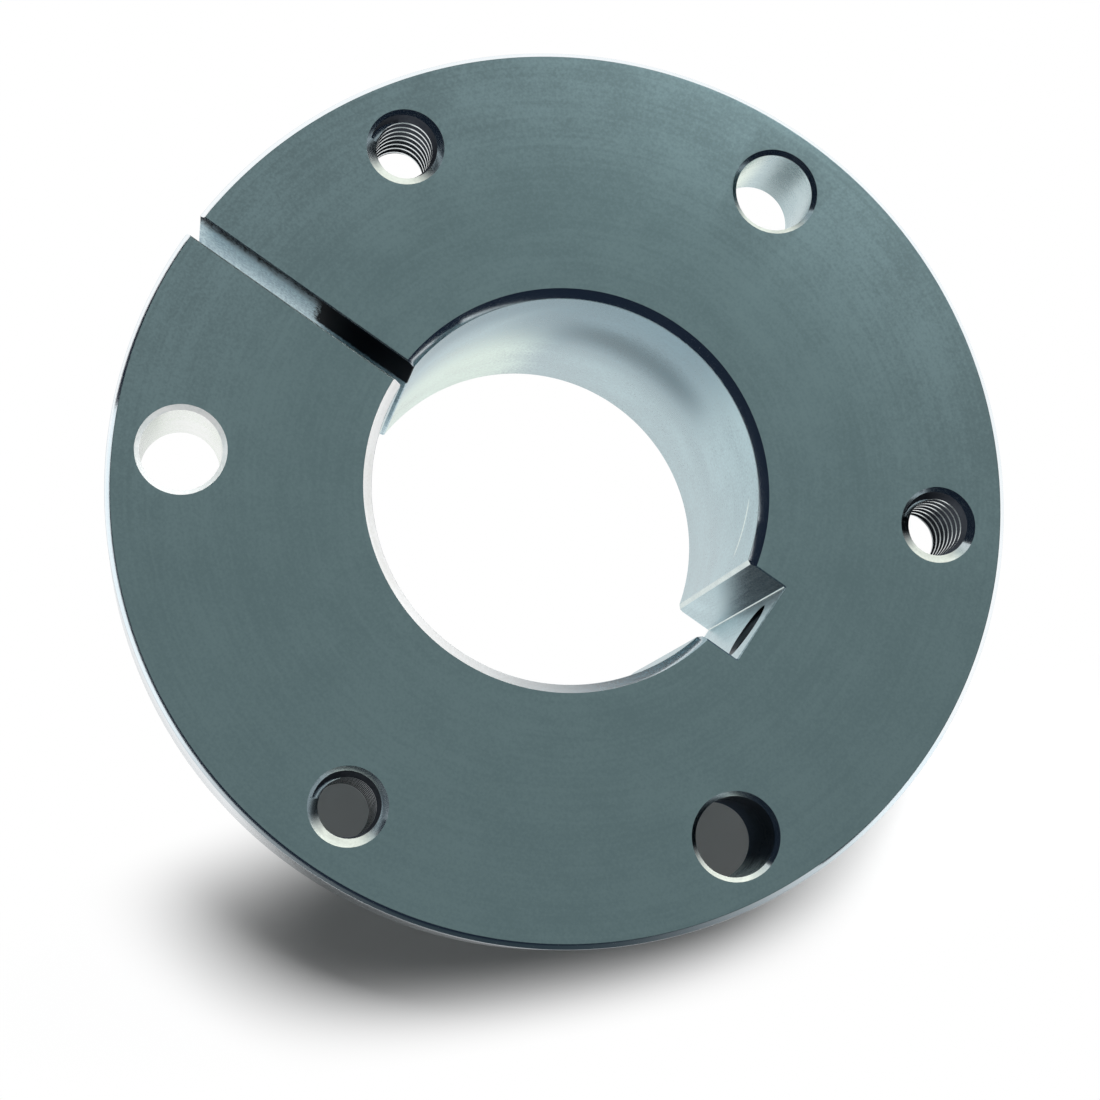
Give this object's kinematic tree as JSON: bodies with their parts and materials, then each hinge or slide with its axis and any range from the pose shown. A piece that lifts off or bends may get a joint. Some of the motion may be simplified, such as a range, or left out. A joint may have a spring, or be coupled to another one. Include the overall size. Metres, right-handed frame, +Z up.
{
  "type": "taper bush",
  "caption": "Split steel taper bush with a round flange, a keyed bore, plain and tapped face holes and a radial set screw hole over the keyway.",
  "frame": {"origin": "centre of the barrel's small end, on the bore axis, which is the middle of the face the bush stands on", "axes": "+Z up the bore axis from the barrel's small end to the flange face, +X through the middle of the keyway, -X through the middle of the split"},
  "size_m": [0.081, 0.081, 0.0333],
  "materials": {
    "machined_steel": "fine turned, satin"
  },
  "bodies": {
    "root": {"taper_bush": "machined_steel"}
  },
  "joints": []
}
